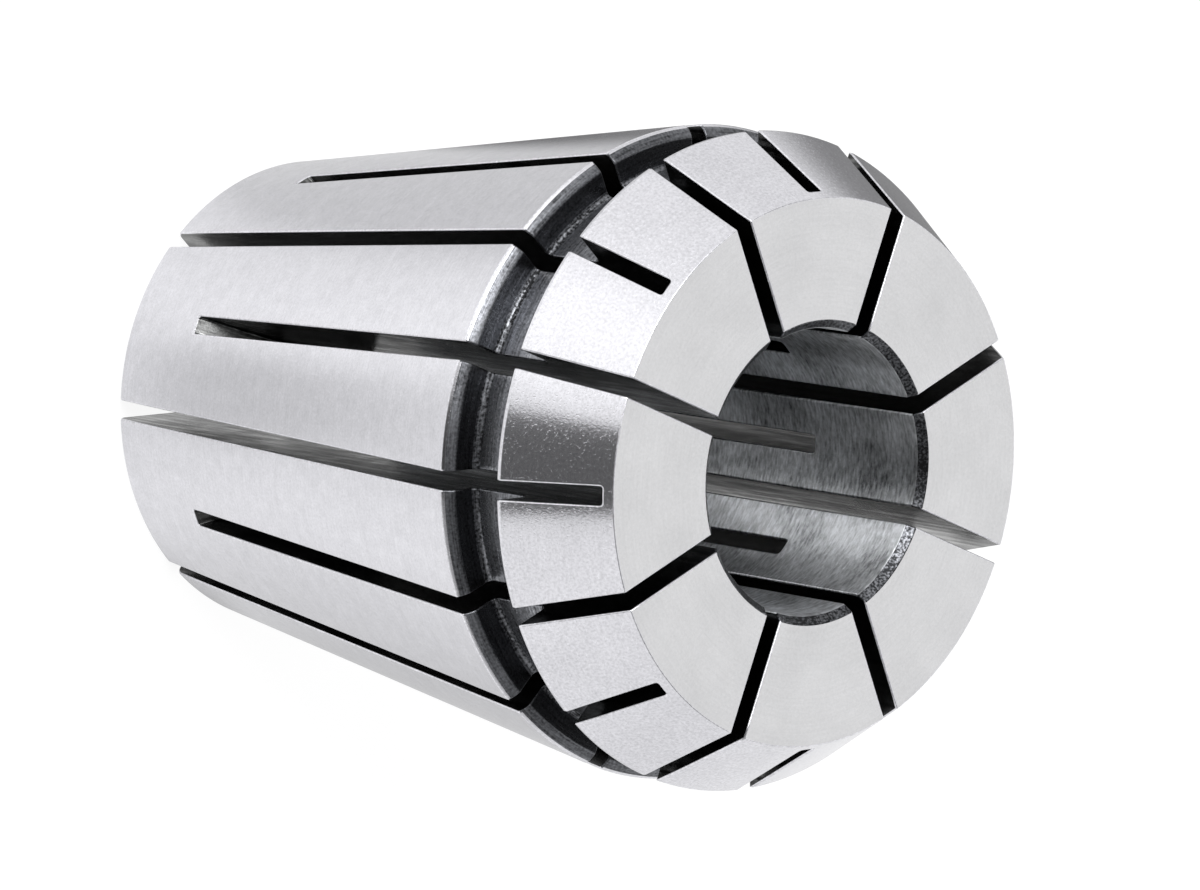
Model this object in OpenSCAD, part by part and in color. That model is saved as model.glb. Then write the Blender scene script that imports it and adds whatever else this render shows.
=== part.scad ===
// Double-angle spring collet for a tapered collet chuck.
// The z axis runs along the bore, from the small back end at z = 0 to the nose face.
// Two interleaved sets of saw slots let the one-piece ring close evenly on a shank.

/* [Body] */
// Overall length, from the back end to the nose face
overall_length = 40; // [36:0.5:52]
// Largest diameter, over the front edge of the long taper and over the nose rim
collet_d = 33; // [31:0.1:36]
// Half angle of the long taper, in degrees
taper_angle = 8; // [6:0.5:9]
// Radius of the rounded edge round the back end
back_edge_r = 0.5; // [0.1:0.1:1.5]

/* [Nose] */
// Width of the straight land round the nose rim
rim_land = 0.2; // [0.1:0.1:1]
// Half angle of the nose cone, in degrees
nose_angle = 30; // [25:1:32]
// Distance from the nose face back to the groove
nose_length = 5.2; // [4:0.1:7]

/* [Extraction groove] */
// Depth of the groove's floor below the nose rim
groove_depth = 1.9; // [1.2:0.1:2.6]
// Width of the groove between its two walls
groove_width = 3.7; // [2.5:0.1:5]
// Radius of the two corners of the groove's floor
groove_corner_r = 0.3; // [0.1:0.05:0.8]
// Depth of the bevel from the taper down into the groove
bevel_depth = 0.6; // [0.2:0.05:1]
// Length of the same bevel along the bore
bevel_length = 0.45; // [0.1:0.05:1]

/* [Bore] */
// Bore diameter, 9/16 inch
bore_d = 14.2875; // [8:0.0125:18]
// Chamfer at both ends of the bore
bore_chamfer = 0.4; // [0.1:0.1:1]

/* [Saw slots] */
// Slots in each of the two sets
slot_count = 8; // [4:1:10]
// Width of the saw blade and of every slot
slot_width = 0.93; // [0.4:0.01:1.5]
// Diameter of the saw blade, which shapes the closed end of every slot
saw_d = 63; // [40:1:100]
// How much shorter a slot is in the bore than on the outside
slot_runout = 7.3; // [3:0.1:9]
// Metal left outside between the nose face and the slots sawn from the back
nose_bridge = 0.5; // [0.4:0.1:1.5]
// Metal left outside between the back end and the slots sawn from the nose
tail_bridge = 6.2; // [4:0.1:10]

/* [Hidden] */
$fn = 180;
bore_r = bore_d / 2;
collet_r = collet_d / 2;
groove_r = collet_r - groove_depth;
// Heights of the edges, from the nose down to the front edge of the taper
groove_front_z = overall_length - nose_length;
groove_back_z = groove_front_z - groove_width;
taper_front_z = groove_back_z - bevel_length;
// Radii where the two cones end
face_r = collet_r - (nose_length - rim_land) * tan(nose_angle);
back_r = taper_r(0);
// Cutting shapes run this far past the surfaces that they cut
overcut = 1;
// Each slot of one set is midway between two slots of the other set
slot_pitch = 360 / slot_count;

// Radius of the long taper at a height
function taper_r(z) = collet_r - (taper_front_z - z) * tan(taper_angle);

// Radius of the nose cone at a height
function nose_r(z) = face_r + (overall_length - z) * tan(nose_angle);

// Centre of the saw whose rim passes through an inner and an outer point, on the side of the open end
function saw_centre(inner, outer) =
    let (chord = outer - inner, half = norm(chord) / 2)
    (inner + outer) / 2 + [chord.y, -chord.x] / norm(chord) * sqrt(pow(saw_d / 2, 2) - half * half);

// Half section of the turned ring with sharp corners
module sharp_section() {
    polygon([
        [bore_r, 0],
        [back_r, 0],
        [collet_r, taper_front_z],
        [collet_r - bevel_depth, groove_back_z],
        [groove_r, groove_back_z],
        [groove_r, groove_front_z],
        [collet_r, groove_front_z],
        [collet_r, groove_front_z + rim_land],
        [face_r, overall_length],
        [bore_r, overall_length]
    ]);
}

// Fills one corner of the groove's floor, whose wall lies at height z and rises on the given side
module groove_corner(z, side) {
    reach = groove_corner_r;
    translate([groove_r, z])
        mirror([0, side > 0 ? 0 : 1])
            difference() {
                translate([-overcut, -overcut])
                    square(reach + overcut);
                translate([reach, reach])
                    circle(reach);
            }
}

// What the rounded back edge takes off: the corner outside a circle that touches the back end and the taper
module back_edge_section() {
    corner_angle = 90 + taper_angle;
    tangent = back_edge_r / tan(corner_angle / 2);
    centre = [back_r - tangent, back_edge_r];
    difference() {
        polygon([
            centre,
            [centre.x, -overcut],
            [back_r + overcut, -overcut],
            [back_r + overcut, tangent * cos(taper_angle) - overcut * sin(taper_angle)],
            [back_r + tangent * sin(taper_angle), tangent * cos(taper_angle)]
        ]);
        translate(centre)
            circle(back_edge_r);
    }
}

// Half section of one bore chamfer at the back end
module bore_chamfer_section() {
    polygon([
        [bore_r - overcut, -overcut],
        [bore_r + bore_chamfer + overcut, -overcut],
        [bore_r - overcut, bore_chamfer + overcut]
    ]);
}

// Finished half section with its rounded and chamfered corners, which is turned about the bore
module turned_section() {
    difference() {
        union() {
            sharp_section();
            intersection() {
                union() {
                    groove_corner(groove_back_z, 1);
                    groove_corner(groove_front_z, -1);
                }
                translate([bore_r, groove_back_z])
                    square([collet_r - bore_r, groove_width]);
            }
        }
        back_edge_section();
        bore_chamfer_section();
        translate([0, overall_length])
            mirror([0, 1])
                bore_chamfer_section();
    }
}

// One slot, open at z = 0, cut outwards from the axis. Its closed end is an arc of the saw's rim
// that meets the outside at a radius and a height, and the bore wall lower down.
module saw_slot(outer_r, outer_z) {
    centre = saw_centre([bore_r, outer_z - slot_runout], [outer_r, outer_z]);
    past_rim = collet_r + overcut;
    rotate([90, 0, 0])
        linear_extrude(slot_width, center = true) {
            translate([0, -overcut])
                square([past_rim, centre.y + overcut]);
            intersection() {
                translate(centre)
                    circle(saw_d / 2);
                translate([0, centre.y - overcut])
                    square([past_rim, saw_d]);
            }
        }
}

// The set sawn from the back, which ends on the nose cone
module back_slots() {
    end_z = overall_length - nose_bridge;
    for (i = [0:slot_count - 1])
        rotate(i * slot_pitch)
            saw_slot(nose_r(end_z), end_z);
}

// The set sawn from the nose, which ends on the long taper
module front_slots() {
    translate([0, 0, overall_length])
        mirror([0, 0, 1])
            for (i = [0:slot_count - 1])
                rotate((i + 0.5) * slot_pitch)
                    saw_slot(taper_r(tail_bridge), overall_length - tail_bridge);
}

module collet() {
    color([0.82, 0.82, 0.84])
        difference() {
            rotate_extrude()
                turned_section();
            back_slots();
            front_slots();
        }
}

collet();
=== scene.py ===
import math

import bmesh
import bpy
from mathutils import Matrix, Quaternion, Vector


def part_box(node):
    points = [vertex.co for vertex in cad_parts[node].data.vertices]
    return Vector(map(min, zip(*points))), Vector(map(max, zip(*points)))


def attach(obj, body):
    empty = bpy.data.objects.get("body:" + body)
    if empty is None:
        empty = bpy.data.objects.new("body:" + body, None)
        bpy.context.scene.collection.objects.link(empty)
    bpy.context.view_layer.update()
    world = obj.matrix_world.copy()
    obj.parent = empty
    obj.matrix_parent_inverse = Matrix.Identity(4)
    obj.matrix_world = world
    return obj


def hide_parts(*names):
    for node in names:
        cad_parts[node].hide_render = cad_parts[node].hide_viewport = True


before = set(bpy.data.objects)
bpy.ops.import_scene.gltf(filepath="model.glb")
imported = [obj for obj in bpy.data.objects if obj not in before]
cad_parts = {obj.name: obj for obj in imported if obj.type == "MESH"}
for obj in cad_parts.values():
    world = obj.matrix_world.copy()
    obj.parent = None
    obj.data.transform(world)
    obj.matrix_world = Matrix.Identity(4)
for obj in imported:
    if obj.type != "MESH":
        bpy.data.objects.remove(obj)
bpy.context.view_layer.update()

mm = 0.001
low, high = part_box("collet")

# The turned and sawn ring, in millimetres and degrees; its overall sizes come from the frame
slotWidth = 0.93
collet = {
    "length": (high.z - low.z) / mm,
    "rimRadius": math.hypot((high.x - low.x) / 2 / mm, slotWidth / 2),  # slots open where the box is taken
    "taperAngle": 8,
    "noseAngle": 30,
    "noseLength": 5.2,
    "rimLand": 0.2,
    "grooveDepth": 1.9,
    "grooveWidth": 3.7,
    "grooveCorner": 0.3,
    "bevelDepth": 0.6,
    "bevelLength": 0.45,
    "boreRadius": 14.2875 / 2,
    "boreChamfer": 0.4,
    "backEdge": 0.5,
    "slotWidth": slotWidth,
    "slotCount": 8,  # in each of the two sets
    "sawRadius": 31.5,
    "slotRunout": 7.3,
    "noseBridge": 0.5,
    "tailBridge": 6.2,
    "bevelCrown": 19,  # how far the ends of the crowned bevel lean from its chord
    "turnedEdge": 0.045,  # set back of the broken edges left by turning
    "sawnEdge": 0.09,  # set back of the broken edges along the slots
    "slotCorner": 0.13,  # set back of the corners inside a slot's closed end
    "columns": 12,  # steps of a turned surface between two slots
    "rowLength": 0.8,  # longest step along the section
    "arcSteps": 24,  # steps of a slot's closed end
    "cornerSteps": 6,  # steps of the groove's corners
    "roundSteps": 8,  # steps of the crowned bevel and the rounded back edge
    "edgeSteps": 2,  # steps of a broken edge
    "slotCornerSteps": 3,  # steps of the corners inside a slot's closed end
    "softRow": 0.115,  # rows of the section shorter than this round an edge off
    "sharpTurn": 25,  # edges that turn by more than this are broken
    "weld": 0.0005,  # points closer than this are one
}

# Heights and radii of the section's edges
grooveFrontZ = collet["length"] - collet["noseLength"]
grooveBackZ = grooveFrontZ - collet["grooveWidth"]
taperFrontZ = grooveBackZ - collet["bevelLength"]
grooveRadius = collet["rimRadius"] - collet["grooveDepth"]
backSlotZ = collet["length"] - collet["noseBridge"]  # where the slots sawn from the back end
halfPitch = math.pi / collet["slotCount"]  # from one slot to the next of the other set
finishes = [
    "taper", "cone", "face", "land", "bevel", "wall", "fillet", "floor",
    "bore", "boreEdge", "sawn", "runOut", "edge", "back",
]
brightEdges = ["taper", "cone", "face", "land", "back"]  # where broken edges were ground bright


def taperRadius(z):
    return collet["rimRadius"] - (taperFrontZ - z) * math.tan(math.radians(collet["taperAngle"]))


def coneRadius(z):
    coneBackZ = grooveFrontZ + collet["rimLand"]
    return collet["rimRadius"] - (z - coneBackZ) * math.tan(math.radians(collet["noseAngle"]))


def crownBevel(inner, outer):
    # The corner and radius of an arc that bulges out between the two ends of the groove's bevel
    lean = math.radians(collet["bevelCrown"])
    chord = Vector((outer[0] - inner[0], 0, outer[1] - inner[1]))
    half = chord.length / 2
    outward = Vector((-chord.z, 0, chord.x)).normalized()
    corner = Vector((inner[0], 0, inner[1])) + chord / 2 + outward * half * math.tan(lean)
    return corner.x, corner.z, half / math.sin(lean)


def runTo(bm, last, corner, after, radius, steps):
    # Draws the section on to a corner and round it, towards the corner after it
    arrive = (corner - last.co).normalized()
    leave = (after - corner).normalized()
    turn = math.atan2(arrive.x * leave.z - arrive.z * leave.x, arrive.dot(leave))
    start = last.co.copy()
    end = corner - arrive * radius * abs(math.tan(turn / 2))
    count = max(1, math.ceil((end - start).length / collet["rowLength"]))
    for i in range(count):
        vert = bm.verts.new(start.lerp(end, (i + 1) / count))
        bm.edges.new((last, vert))
        last = vert
    if radius:
        centre = last.co + Vector((-arrive.z, 0, arrive.x)) * math.copysign(radius, turn)
        arc = bmesh.ops.spin(bm, geom=[last], cent=centre, axis=(0, -1, 0), angle=turn, steps=steps)
        last = arc["geom_last"][0]
    return last


def drawSection(bm):
    # The closed half section, from the back end of the bore wall round by the nose
    c = collet
    length, bore, rim = c["length"], c["boreRadius"], c["rimRadius"]
    bevelInner, bevelOuter = (rim - c["bevelDepth"], grooveBackZ), (rim, taperFrontZ)
    # Each corner's radius and height, its rounding and the steps of that
    corners = [
        (bore, c["boreChamfer"], 0, 0),
        (bore, c["tailBridge"] + c["slotRunout"], 0, 0),
        (bore, backSlotZ - c["slotRunout"], 0, 0),
        (bore, length - c["boreChamfer"], 0, 0),
        (bore + c["boreChamfer"], length, 0, 0),
        (coneRadius(length), length, 0, 0),
        (coneRadius(backSlotZ), backSlotZ, 0, 0),
        (rim, grooveFrontZ + c["rimLand"], 0, 0),
        (rim, grooveFrontZ, 0, 0),
        (grooveRadius, grooveFrontZ, c["grooveCorner"], c["cornerSteps"]),
        (grooveRadius, grooveBackZ, c["grooveCorner"], c["cornerSteps"]),
        (*bevelInner, 0, 0),
        (*crownBevel(bevelInner, bevelOuter), c["roundSteps"]),
        (*bevelOuter, 0, 0),
        (taperRadius(c["tailBridge"]), c["tailBridge"], 0, 0),
        (taperRadius(0), 0, c["backEdge"], c["roundSteps"]),
        (bore + c["boreChamfer"], 0, 0, 0),
    ]
    points = [Vector((r, 0, z)) for r, z, radius, steps in corners]
    last = bm.verts.new(points[0])
    for i in range(1, len(corners) + 1):
        here, after = i % len(corners), (i + 1) % len(corners)
        last = runTo(bm, last, points[here], points[after], corners[here][2], corners[here][3])
    bmesh.ops.remove_doubles(bm, verts=bm.verts, dist=c["weld"])


def squeezeWedge(bm):
    # Brings both sides of the wedge in to the walls of the half slots there
    half = collet["slotWidth"] / 2
    for vert in bm.verts:
        radius, angle = math.hypot(vert.co.x, vert.co.y), math.atan2(vert.co.y, vert.co.x)
        wall = math.asin(half / radius)
        angle = wall + angle * (1 - 2 * wall / halfPitch)
        vert.co.x, vert.co.y = radius * math.cos(angle), radius * math.sin(angle)


def turnOver(bm):
    # Swaps the two sides of the wedge and its two ends; done twice, it changes nothing
    bmesh.ops.rotate(bm, verts=bm.verts, cent=(0, 0, 0), matrix=Matrix.Rotation(-halfPitch, 3, "Z"))
    bmesh.ops.scale(bm, verts=bm.verts, vec=(1, -1, -1))
    bmesh.ops.translate(bm, verts=bm.verts, vec=(0, 0, collet["length"]))


def sawSlot(bm, outerRadius, outerZ, sawnLayer):
    # Closes the y = 0 side of the wedge: a slot wall (1) below the saw's arc (2), and solid metal beyond it
    half, saw, weld = collet["slotWidth"] / 2, collet["sawRadius"], collet["weld"]
    inner = Vector((math.sqrt(collet["boreRadius"] ** 2 - half ** 2), half, outerZ - collet["slotRunout"]))
    outer = Vector((math.sqrt(outerRadius ** 2 - half ** 2), half, outerZ))
    chord = outer - inner
    across = Vector((chord.z, 0, -chord.x)).normalized()
    centre = (inner + outer) / 2 + across * math.sqrt(saw ** 2 - (chord.length / 2) ** 2)
    side = [e for e in bm.edges if e.is_boundary and all(abs(v.co.y - half) < weld for v in e.verts)]

    start = min(bm.verts, key=lambda v: (v.co - inner).length)
    end = min(bm.verts, key=lambda v: (v.co - outer).length)
    sweep = -2 * math.asin(chord.length / 2 / saw)
    arc = bmesh.ops.spin(bm, geom=[start], cent=centre, axis=(0, -1, 0), angle=sweep,
                         steps=collet["arcSteps"])
    bmesh.ops.weld_verts(bm, targetmap={arc["geom_last"][0]: end})
    rim = [e for e in bm.edges if e.is_wire]

    sawn, web = [], []
    for edge in side:
        middle = (edge.verts[0].co + edge.verts[1].co) / 2
        inSlot = middle.z < centre.z or (middle - centre).length < saw
        (sawn if inSlot else web).append(edge)
    wall = bmesh.ops.edgeloop_fill(bm, edges=sawn + rim)["faces"]
    grown = bmesh.ops.extrude_edge_only(bm, edges=web + rim)["geom"]
    for vert in grown:
        if isinstance(vert, bmesh.types.BMVert):
            vert.co.x, vert.co.y = math.hypot(vert.co.x, vert.co.y), 0
    for face in [f for e in rim for f in e.link_faces]:
        face[sawnLayer] = 2
    for face in wall:
        face[sawnLayer] = 1


def sectionPoint(co):
    return Vector((math.hypot(co.x, co.y), co.z))


def isSoft(face):
    # Short rows of the section are the steps of a rounded edge
    points = [sectionPoint(v.co) for v in face.verts]
    return max((point - points[0]).length for point in points) < collet["softRow"]


def finishAt(face):
    # The finish of a turned face, by where it lies on the section
    c = collet
    radius, z = sectionPoint(face.calc_center_median())
    near = c["sawnEdge"]
    if radius < c["boreRadius"] + near:
        return "bore"
    if radius < c["boreRadius"] + c["boreChamfer"] + c["turnedEdge"]:
        return "boreEdge"
    if z < c["backEdge"] / 2:
        return "back"
    if z < taperFrontZ:
        return "taper"
    if z > c["length"] - near:
        return "face"
    if z > grooveFrontZ + c["rimLand"]:
        return "cone"
    if radius > c["rimRadius"] - near:
        return "land"
    if z < grooveBackZ and radius > c["rimRadius"] - c["bevelDepth"]:
        return "bevel"
    if radius > grooveRadius + c["grooveCorner"]:
        return "wall"
    return "fillet" if isSoft(face) else "floor"


def turnedNormal(face, co):
    # The normal of a face turned round the axis, at one of its corners
    centre = face.calc_center_median()
    angle = math.atan2(co.y, co.x) - math.atan2(centre.y, centre.x)
    return Matrix.Rotation(angle, 3, "Z") @ face.normal


def evenNormals(bm, sawnLayer, softLayer):
    # Walls are flat and turned faces truly round. Roundings (soft 1) and broken edges (soft 2) take up the
    # normals of the hardest faces that they meet
    meeting = {}
    for face in bm.faces:
        turned = not face[sawnLayer] and face[softLayer] < 2
        for vert in face.verts:
            normal = turnedNormal(face, vert.co) if turned else face.normal.copy()
            meeting.setdefault(vert, {}).setdefault(face[softLayer], []).append((face, normal))
    normals = []
    for face in bm.faces:
        for vert in face.verts:
            hardest = meeting[vert][min(meeting[vert])]
            own = [normal for other, normal in hardest if other == face and not face[softLayer]]
            normals.append(sum(own or [normal for other, normal in hardest], Vector()).normalized())
    return normals


def isSawn(face):
    return finishes[face.material_index] in ("sawn", "runOut")


def clearTips(bm, edges):
    # Where an inner corner comes out on a turned surface, only the slot's outline may meet it
    counts = {}
    for edge in edges:
        for vert in edge.verts:
            counts[vert] = counts.get(vert, 0) + 1
    tips = [v for v, count in counts.items() if count == 1]
    loose = {e for v in tips for e in v.link_edges if not any(isSawn(f) for f in e.link_faces)}
    bmesh.ops.dissolve_edges(bm, edges=list(loose), use_verts=False)


def breakEdges(bm, edges, offset, steps, softLayer, finish=None):
    # The new faces get the finish given, or else go by where they lie
    broken = bmesh.ops.bevel(
        bm, geom=edges, offset=offset, offset_type="OFFSET", affect="EDGES", segments=steps, profile=0.5,
        material=-1, clamp_overlap=True, loop_slide=True, mark_seam=True)
    for face in broken["faces"]:
        place = finish or finishAt(face)
        face.material_index = finishes.index("edge" if place in brightEdges else place)
        face[softLayer] = 2


def makeColletMesh():
    bm = bmesh.new()
    drawSection(bm)
    print("section", len(bm.verts), "points")
    bmesh.ops.spin(bm, geom=bm.verts[:] + bm.edges[:], cent=(0, 0, 0), axis=(0, 0, 1), angle=halfPitch,
                   steps=collet["columns"])
    squeezeWedge(bm)
    sawnLayer = bm.faces.layers.int.new("sawn")
    softLayer = bm.faces.layers.int.new("soft")
    sawSlot(bm, coneRadius(backSlotZ), backSlotZ, sawnLayer)
    turnOver(bm)
    sawSlot(bm, taperRadius(collet["tailBridge"]), collet["length"] - collet["tailBridge"], sawnLayer)
    turnOver(bm)
    print("wedge", len(bm.faces), "faces")

    bmesh.ops.mirror(bm, geom=bm.verts[:] + bm.edges[:] + bm.faces[:], axis="Y", merge_dist=collet["weld"])
    turns = collet["slotCount"] - 1
    bmesh.ops.spin(bm, geom=bm.verts[:] + bm.edges[:] + bm.faces[:], cent=(0, 0, 0), axis=(0, 0, 1),
                   angle=2 * halfPitch * turns, steps=turns, use_duplicate=True)
    bmesh.ops.remove_doubles(bm, verts=bm.verts, dist=collet["weld"])
    bmesh.ops.recalc_face_normals(bm, faces=bm.faces)
    print("ring", len(bm.faces), "faces,", sum(not e.is_manifold for e in bm.edges), "open edges")

    for face in bm.faces:
        finish = ("", "sawn", "runOut")[face[sawnLayer]] or finishAt(face)
        face.material_index = finishes.index(finish)
        face[softLayer] = finish == "runOut" or (finish != "sawn" and isSoft(face))
    turn = math.radians(collet["sharpTurn"])
    inCorners = [e for e in bm.edges if all(isSawn(f) for f in e.link_faces) and e.calc_face_angle() > turn]
    clearTips(bm, inCorners)
    breakEdges(bm, inCorners, collet["slotCorner"], collet["slotCornerSteps"], softLayer, "sawn")
    slotEdges = [e for e in bm.edges if sum(isSawn(f) for f in e.link_faces) == 1]
    for edge in bm.edges:
        # A seam carries each turned edge on across the broken slot edges
        edge.seam = not any(isSawn(f) for f in edge.link_faces) and edge.calc_face_angle() > turn
    breakEdges(bm, slotEdges, collet["sawnEdge"], collet["edgeSteps"], softLayer)
    turnedEdges = [e for e in bm.edges if e.seam]
    breakEdges(bm, turnedEdges, collet["turnedEdge"], collet["edgeSteps"], softLayer)
    print("edges broken", len(bm.faces), "faces,", sum(not e.is_manifold for e in bm.edges), "open edges")

    bm.normal_update()
    normals = evenNormals(bm, sawnLayer, softLayer)
    for edge in bm.edges:
        edge.seam = False
    bmesh.ops.scale(bm, verts=bm.verts, vec=(mm, mm, mm))
    for face in bm.faces:
        face.smooth = True
    for name in ("sawn", "soft"):
        bm.faces.layers.int.remove(bm.faces.layers.int[name])
    mesh = bpy.data.meshes.new("springCollet")
    bm.to_mesh(mesh)
    bm.free()
    mesh.normals_split_custom_set(normals)
    return mesh


ring = bpy.data.objects.new("springCollet", makeColletMesh())
bpy.context.scene.collection.objects.link(ring)
print("collet", len(ring.data.polygons), "faces")


# Finishes: fine marks run round the axis, or along the saw slots; lengths in metres
def link(tree, value, socket):
    if isinstance(value, bpy.types.NodeSocket):
        tree.links.new(value, socket)
    elif value is not None:
        socket.default_value = value


def addNode(tree, kind, **inputs):
    node = tree.nodes.new(kind)
    for name, value in inputs.items():
        link(tree, value, node.inputs[name])
    return node


def addMath(tree, operation, first, second=0.0):
    node = tree.nodes.new("ShaderNodeMath")
    node.operation = operation
    link(tree, first, node.inputs[0])
    link(tree, second, node.inputs[1])
    return node.outputs[0]


def vectorMath(tree, operation, first, second=None):
    node = tree.nodes.new("ShaderNodeVectorMath")
    node.operation = operation
    link(tree, first, node.inputs[0])
    link(tree, second, node.inputs[1])
    return node.outputs["Value" if operation in ("LENGTH", "DOT_PRODUCT") else "Vector"]


def noise(tree, vector, scale, detail=3.0):
    return addNode(tree, "ShaderNodeTexNoise", Vector=vector, Scale=scale, Detail=detail).outputs["Fac"]


def addShare(tree, total, pattern, share):
    return addMath(tree, "ADD", addMath(tree, "MULTIPLY", pattern, share), total)


def spread(tree, value, least, most, toLeast, toMost):
    limits = {"From Min": least, "From Max": most, "To Min": toLeast, "To Max": toMost}
    return addNode(tree, "ShaderNodeMapRange", Value=value, **limits).outputs[0]


def placeOnRing(tree):
    # The place on the object, its direction from the axis, and its radius
    place = tree.nodes.new("ShaderNodeTexCoord").outputs["Object"]
    flat = vectorMath(tree, "MULTIPLY", place, (1, 1, 0))
    return place, vectorMath(tree, "NORMALIZE", flat), vectorMath(tree, "LENGTH", flat)


def markPattern(tree, look):
    # Noise drawn out along the marks: round the axis, or lengthways on the walls and ends of the slots
    place, outward, radius = placeOnRing(tree)
    z = addNode(tree, "ShaderNodeSeparateXYZ", Vector=place).outputs["Z"]
    rim, length, width = collet["rimRadius"] * mm, look["markLength"], look["markWidth"]
    if look["marksRun"] == "round":
        turns, along, across = rim / length, 0.0, addMath(tree, "SUBTRACT", z, radius)
    elif look["marksRun"] == "wall":
        turns, along, across = look["slotShift"], addMath(tree, "DIVIDE", z, length), radius
    else:
        turns, along, across = rim / width, addMath(tree, "DIVIDE", z, length), 0.0
    turned = vectorMath(tree, "MULTIPLY", outward, (turns, turns, 0))
    drawn = addNode(tree, "ShaderNodeCombineXYZ", X=along, Z=addMath(tree, "DIVIDE", across, width))
    return noise(tree, vectorMath(tree, "ADD", turned, drawn.outputs[0]), 1.0)


def markDirection(tree, look):
    axis = addNode(tree, "ShaderNodeCombineXYZ", Z=1.0).outputs[0]
    if look["marksRun"] != "round":
        return axis
    place = tree.nodes.new("ShaderNodeTexCoord").outputs["Object"]
    return vectorMath(tree, "CROSS_PRODUCT", axis, place)


def addPatterns(tree, start, patterns):
    # Each pattern swings the sum about its start by its share
    total = start - sum(share for pattern, share in patterns) / 2
    for pattern, share in patterns:
        total = addShare(tree, total, pattern, share)
    return total


def steelFinish(name, look):
    # Metal with marks, grains, small pits and slow cloudiness, in its colour, roughness and height
    material = bpy.data.materials.new(name)
    material.use_nodes = True
    tree = material.node_tree
    shader = tree.nodes["Principled BSDF"]
    shader.inputs["Metallic"].default_value = 1.0
    shader.inputs["Anisotropic"].default_value = look["brushed"]
    # A quarter turn spreads the light across the marks
    shader.inputs["Anisotropic Rotation"].default_value = 0.25
    link(tree, markDirection(tree, look), shader.inputs["Tangent"])
    place = tree.nodes.new("ShaderNodeTexCoord").outputs["Object"]
    marks = markPattern(tree, look)
    grains = noise(tree, place, 1 / look["grainSize"], detail=2.0)
    clouds = noise(tree, place, 1 / look["cloudSize"])
    shares = [(marks, look["marks"]), (grains, look["grains"]), (clouds, look["clouds"])]
    tone = addPatterns(tree, look["middle"], shares)
    mix = tree.nodes.new("ShaderNodeMix")
    mix.data_type = "RGBA"
    for socket, value in (("A", look["dark"]), ("B", look["light"])):
        mix.inputs[socket].default_value = (*(value * tint for tint in look["tint"]), 1)
    link(tree, spread(tree, tone, 0.0, 1.0, 0.0, 1.0), mix.inputs["Factor"])
    link(tree, mix.outputs["Result"], shader.inputs["Base Color"])
    smoothest, roughest = look["rough"] - look["roughSpread"], look["rough"] + look["roughSpread"]
    link(tree, spread(tree, tone, 0.0, 1.0, roughest, smoothest), shader.inputs["Roughness"])
    pits = spread(tree, grains, look["pitted"], look["pitted"] + look["pitEdge"], 0.0, -look["pitDepth"])
    relief = addPatterns(tree, 0.0, [(marks, look["markDepth"]), (grains, look["grainDepth"])])
    height = addMath(tree, "ADD", relief, pits)
    bump = addNode(tree, "ShaderNodeBump", Height=height, Strength=1.0, Distance=1.0)
    link(tree, bump.outputs["Normal"], shader.inputs["Normal"])
    return material


# marks, grains and clouds are shares of the contrast about the middle tone, which pass 1 where the finish is
# streaky. Pits form where the grains pass the pitted value, and are full one pitEdge beyond it. slotShift
# gives the walls of each slot their own part of the noise
groundLook = {
    "dark": 0.5, "light": 0.84, "middle": 0.5, "tint": (0.985, 0.982, 1.03),
    "rough": 0.2, "roughSpread": 0.05, "brushed": 0.6,
    "marksRun": "round", "markLength": 3 * mm, "markWidth": 0.08 * mm, "marks": 0.3, "markDepth": 0.001 * mm,
    "grainSize": 0.14 * mm, "grains": 0.5, "grainDepth": 0.003 * mm,
    "pitted": 0.62, "pitEdge": 0.1, "pitDepth": 0.003 * mm, "cloudSize": 3 * mm, "clouds": 0.3,
}
turnedLook = {
    **groundLook, "dark": 0.06, "light": 0.34, "tint": (0.96, 0.985, 1.06), "rough": 0.3,
    "markWidth": 0.12 * mm, "marks": 1.5, "markDepth": 0.004 * mm,
    "grains": 1.5, "grainDepth": 0.006 * mm, "clouds": 0.8,
}
boreLook = {
    **groundLook, "dark": 0.12, "light": 0.88, "tint": (0.96, 0.985, 1.02), "rough": 0.44, "brushed": 0.99,
    "markLength": 1.2 * mm, "markWidth": 0.15 * mm, "marks": 1.3, "markDepth": 0.026 * mm,
    "grains": 0.3, "clouds": 1.2,
}
# Sawn steel, darkened as painted shade for the shade deep inside the narrow slots; the run-outs share it
sawnShadedLook = {
    **groundLook, "dark": 0.005, "light": 0.26, "middle": 0.35, "tint": (0.98, 0.99, 0.985),
    "rough": 0.22, "brushed": 0.7, "marksRun": "wall", "slotShift": 5.0,
    "markLength": 5 * mm, "markWidth": 0.45 * mm, "marks": 2.6, "markDepth": 0.006 * mm,
    "cloudSize": 1.5 * mm, "clouds": 1.2,
}
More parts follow.
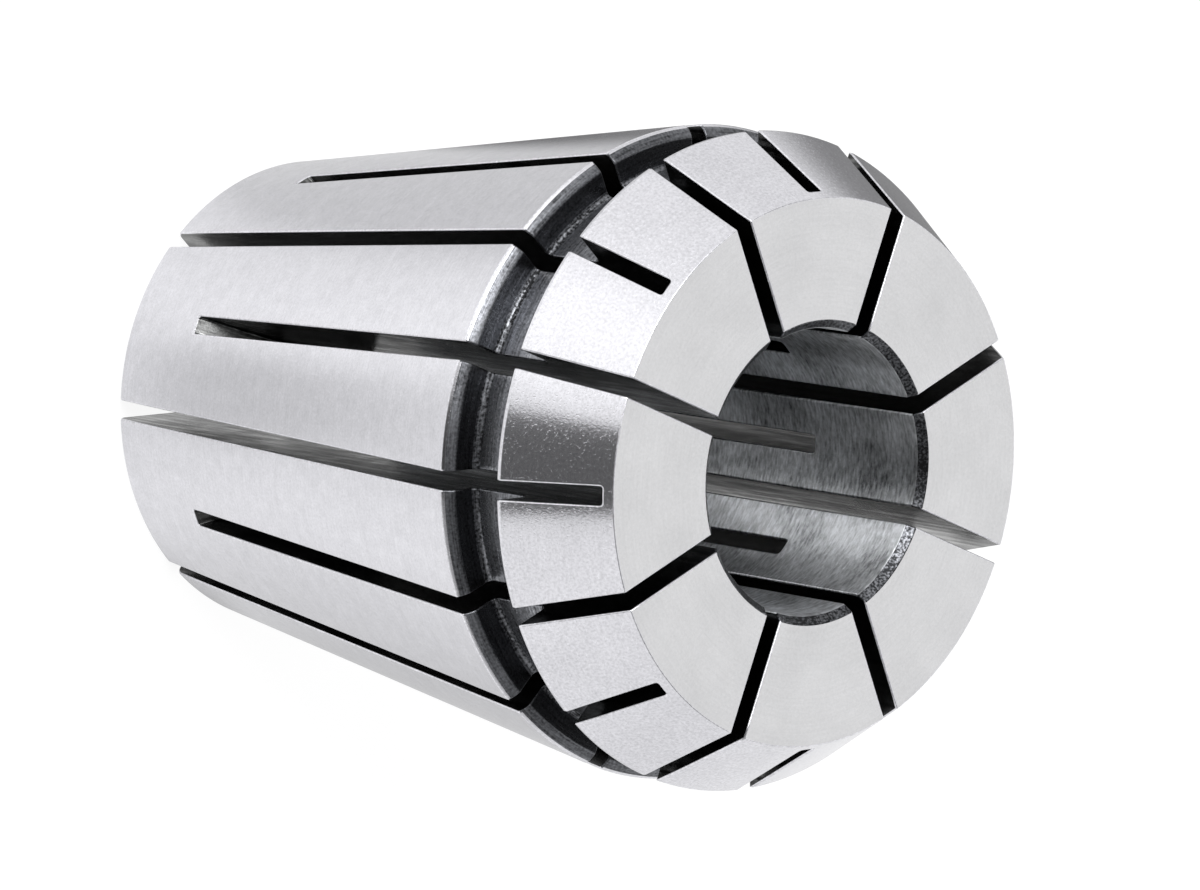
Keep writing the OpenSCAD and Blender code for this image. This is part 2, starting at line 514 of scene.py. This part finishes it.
looks = {
    "taper": {**groundLook, "clouds": 0.4, "cloudSize": 0.7 * mm},
    "cone": {**groundLook, "rough": 0.17, "roughSpread": 0.04, "grains": 1.1, "grainDepth": 0.0037 * mm,
             "pitted": 0.6},
    "face": {**groundLook, "tint": (0.985, 0.985, 1.0), "marks": 0.2, "markDepth": 0.0003 * mm,
             "grains": 0.3, "grainDepth": 0.0008 * mm, "pitDepth": 0.001 * mm, "clouds": 0.4},
    "land": {**groundLook, "marks": 0.6, "grains": 0.8},
    "bevel": {**turnedLook, "dark": 0.04, "light": 0.26, "rough": 0.42, "brushed": 0.3,
              "grainDepth": 0.012 * mm},
    # Grey turned steel, darkened further as painted shade for the shade that the wall stands in inside the
    # groove
    "wall": {**turnedLook, "dark": 0.02, "light": 0.13},
    "fillet": {**turnedLook, "dark": 0.02, "light": 0.42, "middle": 0.25, "rough": 0.42, "grains": 2.0,
               "grainDepth": 0.01 * mm},
    "floor": {**turnedLook, "dark": 0.05, "light": 0.42},
    "bore": boreLook,
    "boreEdge": {**turnedLook, "dark": 0.02, "light": 0.38, "middle": 0.14, "brushed": 0.0, "marks": 0.4,
                 "grainSize": 0.12 * mm, "grains": 1.7, "grainDepth": 0.01 * mm},
    "sawn": sawnShadedLook,
    "runOut": {**sawnShadedLook, "marksRun": "runOut"},
    "edge": {**groundLook, "dark": 0.45, "light": 0.94, "rough": 0.3, "brushed": 0.0, "grains": 1.4,
             "grainDepth": 0.006 * mm},
    "back": {**groundLook, "rough": 0.3},
}
for finish in finishes:
    ring.data.materials.append(steelFinish(finish, looks[finish]))
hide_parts("collet")
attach(ring, "root")
print("finishes", len(finishes))


# White studio with a dark ceiling: a soft world, and a floor that keeps a faint shadow. Strips reach from
# floor to ceiling, cards are round, and the flag leaves little light in a narrow strip between two heights.
# Azimuth, elevation and reach are degrees seen from the collet's middle; a glow below 0 takes light away
studio = {
    "floorSize": 3.0,
    "shadowShare": 0.15,  # how much of the floor is lit, and so shadowed, by the world
    "white": 1.08,  # makes up to the camera for the shadow share's grey
    "level": 1.0,
    "ceiling": {"from": 14, "to": 28, "glow": -0.8},
    "strips": [
        {"azimuth": 138, "inner": 2, "outer": 28, "glow": 0.26},
        {"azimuth": 228, "inner": 5, "outer": 45, "glow": 0.12},
    ],
    "cards": [
        {"azimuth": 140, "elevation": 10, "inner": 4, "outer": 45, "glow": 0.22},
        {"azimuth": 124, "elevation": 47, "inner": 13, "outer": 20, "glow": 7.6},
        {"azimuth": 100, "elevation": 25, "inner": 4, "outer": 16, "glow": 0.9},
        {"azimuth": 84, "elevation": 38, "inner": 6, "outer": 22, "glow": 1.1},
        {"azimuth": 14, "elevation": -32, "inner": 26, "outer": 42, "glow": -0.85},
        {"azimuth": 240, "elevation": -72, "inner": 4, "outer": 18, "glow": -0.6},
        {"azimuth": 255, "elevation": 28, "inner": 5, "outer": 32, "glow": -0.32},
        {"azimuth": 256, "elevation": 42, "inner": 5, "outer": 16, "glow": 0.8},
        {"azimuth": 93, "elevation": 8, "inner": 5, "outer": 30, "glow": 0.13},
        {"azimuth": -11, "elevation": 47, "inner": 24, "outer": 50, "glow": 0.8},
        {"azimuth": 85, "elevation": -48, "inner": 5, "outer": 50, "glow": -0.27},
        {"azimuth": 270, "elevation": -45, "inner": 5, "outer": 45, "glow": -0.3},
        {"azimuth": 173, "elevation": -45, "inner": 2, "outer": 14, "glow": -0.25},
    ],
    "flag": {"azimuth": 179.5, "inner": 14.5, "outer": 16, "bottom": -3, "top": 38, "left": 0.13},
}


def aimAt(azimuth, elevation=0.0):
    azimuth, elevation = math.radians(azimuth), math.radians(elevation)
    return Vector((math.cos(elevation) * math.cos(azimuth), math.cos(elevation) * math.sin(azimuth),
                   math.sin(elevation)))


def smoothStep(tree, value, least, most):
    node = addNode(tree, "ShaderNodeMapRange", Value=value, **{"From Min": least, "From Max": most})
    node.interpolation_type = "SMOOTHSTEP"
    return node.outputs[0]


def softSpot(tree, direction, aim, light):
    # 1 within the inner reach of a direction, falling to 0 at the outer one
    facing = vectorMath(tree, "DOT_PRODUCT", direction, aim)
    outer, inner = (math.cos(math.radians(light[reach])) for reach in ("outer", "inner"))
    return smoothStep(tree, facing, outer, inner)


def studioGlow(tree, direction):
    # Brightness of the studio in a direction from the collet's middle
    level = vectorMath(tree, "NORMALIZE", vectorMath(tree, "MULTIPLY", direction, (1, 1, 0)))
    height = addNode(tree, "ShaderNodeSeparateXYZ", Vector=direction).outputs["Z"]
    ceiling, flag = studio["ceiling"], studio["flag"]
    lowest, highest = (math.sin(math.radians(ceiling[end])) for end in ("from", "to"))
    above = smoothStep(tree, height, lowest, highest)
    total = addShare(tree, studio["level"], above, ceiling["glow"])
    for strip in studio["strips"]:
        spot = softSpot(tree, level, aimAt(strip["azimuth"]), strip)
        total = addShare(tree, total, spot, strip["glow"])
    for card in studio["cards"]:
        spot = softSpot(tree, direction, aimAt(card["azimuth"], card["elevation"]), card)
        total = addShare(tree, total, spot, card["glow"])
    spot = softSpot(tree, level, aimAt(flag["azimuth"]), flag)
    for edge, operation in (("bottom", "GREATER_THAN"), ("top", "LESS_THAN")):
        inside = addMath(tree, operation, height, math.sin(math.radians(flag[edge])))
        spot = addMath(tree, "MULTIPLY", spot, inside)
    kept = addMath(tree, "SUBTRACT", 1.0, addMath(tree, "MULTIPLY", spot, 1 - flag["left"]))
    return addMath(tree, "MULTIPLY", total, kept)


def whiteToCamera(tree, glow, white):
    # The camera sees plain white; everything else sees the studio's glow
    path = tree.nodes.new("ShaderNodeLightPath")
    seen = addMath(tree, "MAXIMUM", path.outputs["Is Camera Ray"], path.outputs["Is Transmission Ray"])
    mix = addNode(tree, "ShaderNodeMix", Factor=seen, A=glow, B=white)
    return mix.outputs["Result"]


def makeFloor():
    bm = bmesh.new()
    bmesh.ops.create_grid(bm, x_segments=4, y_segments=4, size=studio["floorSize"] / 2)
    mesh = bpy.data.meshes.new("floor")
    bm.to_mesh(mesh)
    bm.free()
    floor = bpy.data.objects.new("floor", mesh)
    bpy.context.scene.collection.objects.link(floor)
    material = bpy.data.materials.new("paleFloor")
    material.use_nodes = True
    tree = material.node_tree
    shader = tree.nodes["Principled BSDF"]
    shader.inputs["Base Color"].default_value = (1, 1, 1, 1)
    shader.inputs["Roughness"].default_value = 1.0
    shader.inputs["Specular IOR Level"].default_value = 0.0
    place = tree.nodes.new("ShaderNodeTexCoord").outputs["Object"]
    middle = (0, 0, collet["length"] / 2 * mm)
    direction = vectorMath(tree, "NORMALIZE", vectorMath(tree, "SUBTRACT", place, middle))
    glow = addNode(tree, "ShaderNodeEmission", Color=(1, 1, 1, 1))
    link(tree, whiteToCamera(tree, studioGlow(tree, direction), studio["white"]), glow.inputs["Strength"])
    mix = tree.nodes.new("ShaderNodeMixShader")
    mix.inputs[0].default_value = studio["shadowShare"]
    tree.links.new(glow.outputs[0], mix.inputs[1])
    tree.links.new(shader.outputs[0], mix.inputs[2])
    tree.links.new(mix.outputs[0], tree.nodes["Material Output"].inputs["Surface"])
    floor.data.materials.append(material)


def makeWorld():
    world = bpy.data.worlds.new("studio")
    bpy.context.scene.world = world
    world.use_nodes = True
    tree = world.node_tree
    direction = tree.nodes.new("ShaderNodeTexCoord").outputs["Generated"]
    backdrop = tree.nodes["Background"]
    backdrop.inputs["Color"].default_value = (1, 1, 1, 1)
    link(tree, whiteToCamera(tree, studioGlow(tree, direction), 1.0), backdrop.inputs["Strength"])


makeFloor()
makeWorld()
print("studio ready")

# The photograph's camera: its aim on the collet in millimetres, its angles in degrees
camera = {
    "aim": (1.887, -0.721, 21.835),
    "azimuth": 168.5646,
    "elevation": 47.3563,
    "distance": 397.847,
    "roll": 99.0373,
    "lens": 233.517,
    "sensor": 36,
}


def makeCamera():
    back = aimAt(camera["azimuth"], camera["elevation"])
    data = bpy.data.cameras.new("view")
    data.lens = camera["lens"]
    data.sensor_width = camera["sensor"]
    data.sensor_fit = "HORIZONTAL"
    view = bpy.data.objects.new("view", data)
    bpy.context.scene.collection.objects.link(view)
    view.location = (Vector(camera["aim"]) + back * camera["distance"]) * mm
    roll = Quaternion((0, 0, 1), math.radians(camera["roll"]))
    view.rotation_euler = (back.to_track_quat("Z", "Y") @ roll).to_euler()
    bpy.context.scene.camera = view


makeCamera()
bpy.context.scene.view_settings.view_transform = "Standard"
print("scene ready")
